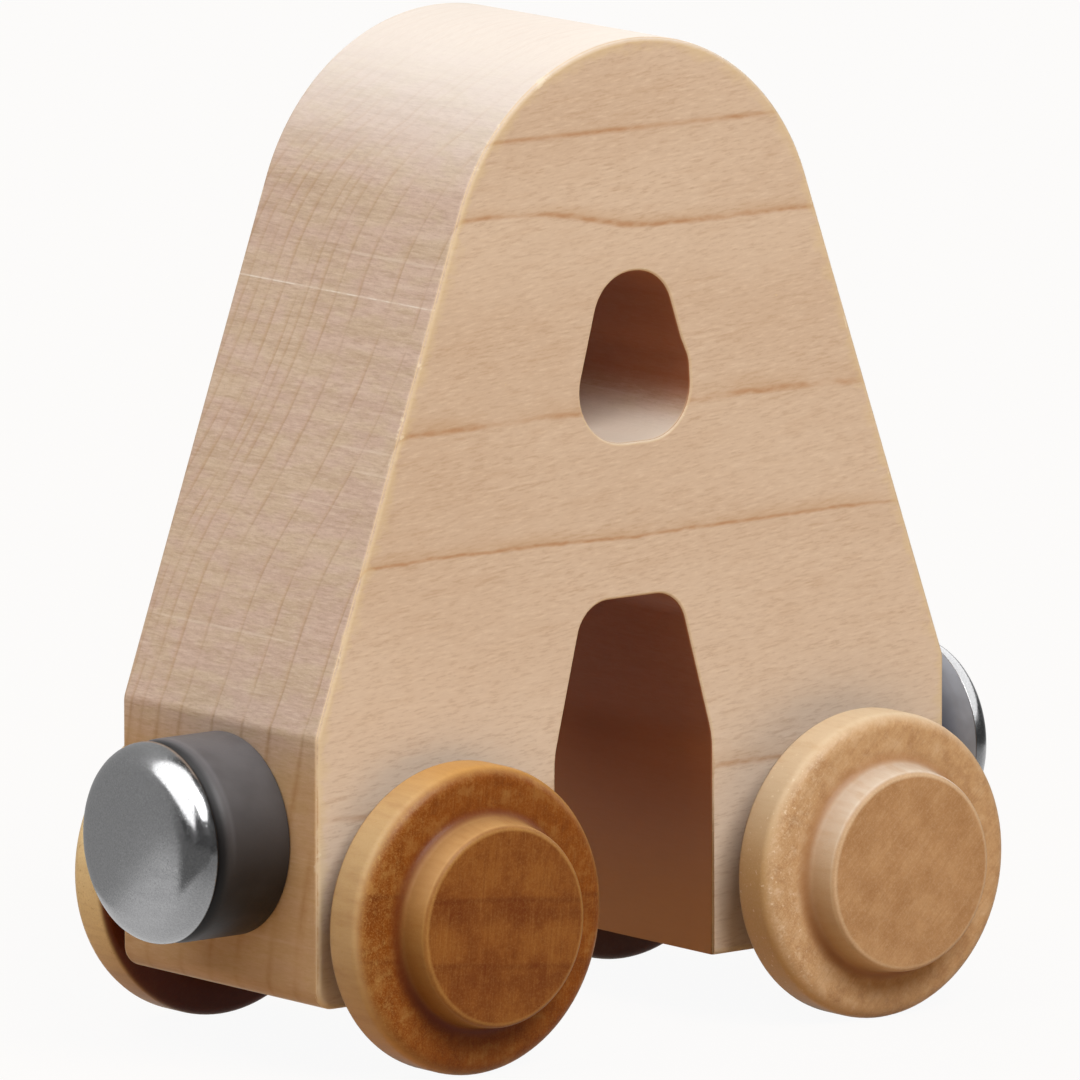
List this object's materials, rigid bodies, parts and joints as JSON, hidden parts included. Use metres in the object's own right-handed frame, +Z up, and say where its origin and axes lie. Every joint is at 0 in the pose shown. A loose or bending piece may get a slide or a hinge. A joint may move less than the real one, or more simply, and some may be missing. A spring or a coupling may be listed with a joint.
{
  "type": "letter train car",
  "caption": "Wooden toy train car shaped as a letter A, rolling on turned wooden wheels, with a magnet coupler on each end that links it to the next car.",
  "frame": {"origin": "on the track under the middle of the car", "axes": "+Z up, -X towards the front end, -Y towards the left side"},
  "size_m": [0.0626, 0.0334, 0.0603],
  "materials": {
    "maple": "sanded, unvarnished",
    "amber_wood": "satin lacquer",
    "honey_wood": "satin lacquer",
    "axle_steel": "drawn bright",
    "ferrite": "sintered, matt",
    "nickel_steel": "nickel plated, lightly scuffed",
    "nail_steel": "bright"
  },
  "bodies": {
    "car": {"letter_body": "maple", "front_magnet": "ferrite", "front_coupler_cap": "nickel_steel", "front_coupler_nail": "nail_steel", "rear_magnet": "ferrite", "rear_coupler_cap": "nickel_steel", "rear_coupler_nail": "nail_steel"},
    "front_wheelset": {"front_axle": "axle_steel", "front_left_wheel": "amber_wood", "front_right_wheel": "amber_wood"},
    "rear_wheelset": {"rear_axle": "axle_steel", "rear_left_wheel": "honey_wood", "rear_right_wheel": "honey_wood"}
  },
  "joints": [
    {"name": "front_wheelset_spin", "type": "hinge", "parent": "car", "child": "front_wheelset", "pos_m": [-0.0152, 0, 0.0093], "axis": [0, 1, 0], "continuous": true},
    {"name": "rear_wheelset_spin", "type": "hinge", "parent": "car", "child": "rear_wheelset", "pos_m": [0.0152, 0, 0.0093], "axis": [0, 1, 0], "continuous": true}
  ]
}
